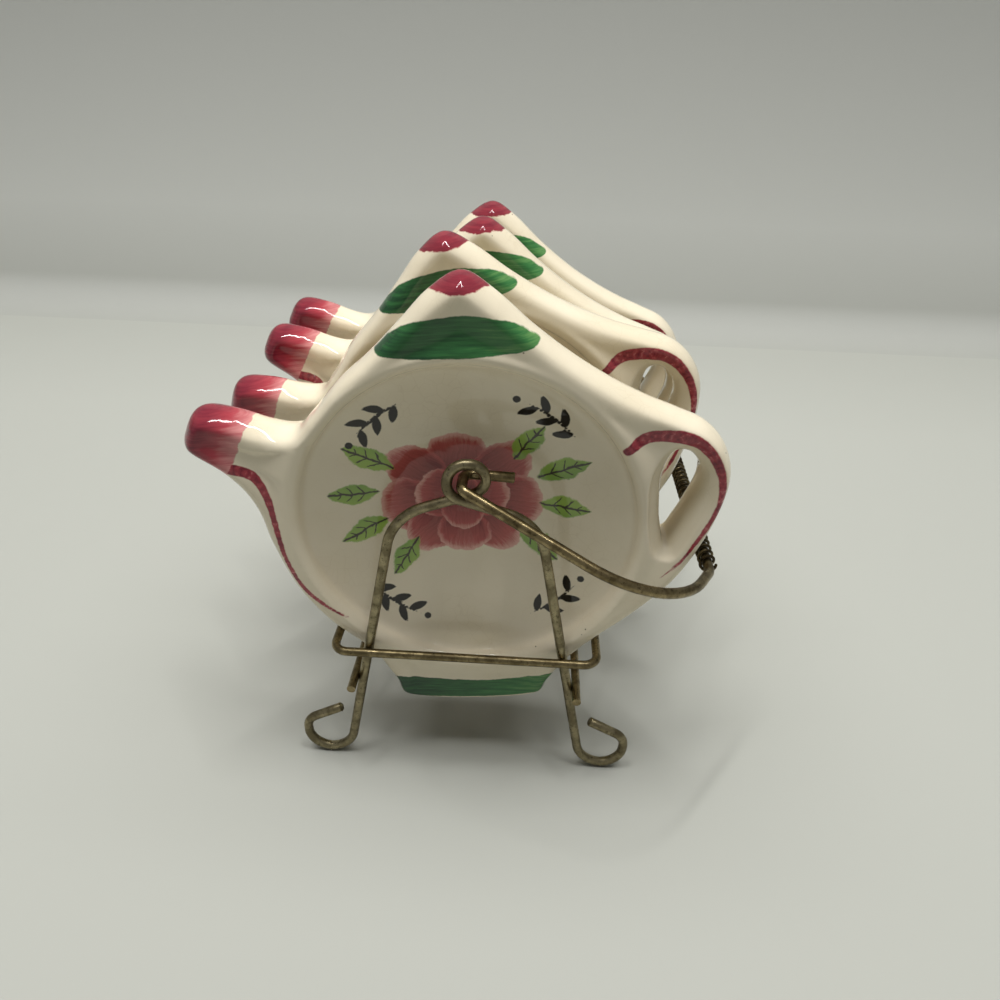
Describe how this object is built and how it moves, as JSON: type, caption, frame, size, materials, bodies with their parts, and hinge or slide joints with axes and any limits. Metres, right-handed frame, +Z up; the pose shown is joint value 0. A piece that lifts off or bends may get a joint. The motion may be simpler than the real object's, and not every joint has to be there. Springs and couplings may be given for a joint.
{
  "type": "tea bag rest set",
  "caption": "Teapot-shaped glazed tea bag rests standing in a wire stand on curled feet, with a swinging bail handle that has a spring grip.",
  "frame": {"origin": "on the table, midway between the two frames and midway between their legs", "axes": "+Z up, +Y from the front rest to the rear rest along the row, +X to the right, towards the handles of the rests"},
  "size_m": [0.1033, 0.1214, 0.1079],
  "materials": {
    "brass_wire": "brass-plated wire, tarnished to a mottled olive tan",
    "spring_steel": "dark tarnished plated wire",
    "glaze": "cream glossy glaze with fine crazing and hand-painted decoration"
  },
  "bodies": {
    "stand": {"front_frame": "brass_wire", "rear_frame": "brass_wire", "tray_ring": "brass_wire", "left_rail": "brass_wire", "right_rail": "brass_wire"},
    "bail": {"bail_handle": "brass_wire", "grip_spring": "spring_steel"},
    "rest_one": {"rest_1": "glaze"},
    "rest_two": {"rest_2": "glaze"},
    "rest_three": {"rest_3": "glaze"},
    "rest_four": {"rest_4": "glaze"}
  },
  "joints": [
    {"name": "bail_hinge", "type": "hinge", "parent": "stand", "child": "bail", "pos_m": [-0.0007, 0, 0.0717], "axis": [0, -1, 0], "range_deg": [-30, 186]},
    {"name": "rest_1_lift", "type": "slide", "parent": "stand", "child": "rest_one", "axis": [0, 0.0767, 0.9971], "range_m": [0, 0.1]},
    {"name": "rest_2_lift", "type": "slide", "parent": "stand", "child": "rest_two", "axis": [0, 0, 1], "range_m": [0, 0.1]},
    {"name": "rest_3_lift", "type": "slide", "parent": "stand", "child": "rest_three", "axis": [0, 0, 1], "range_m": [0, 0.1]},
    {"name": "rest_4_lift", "type": "slide", "parent": "stand", "child": "rest_four", "axis": [0, 0, 1], "range_m": [0, 0.1]}
  ]
}
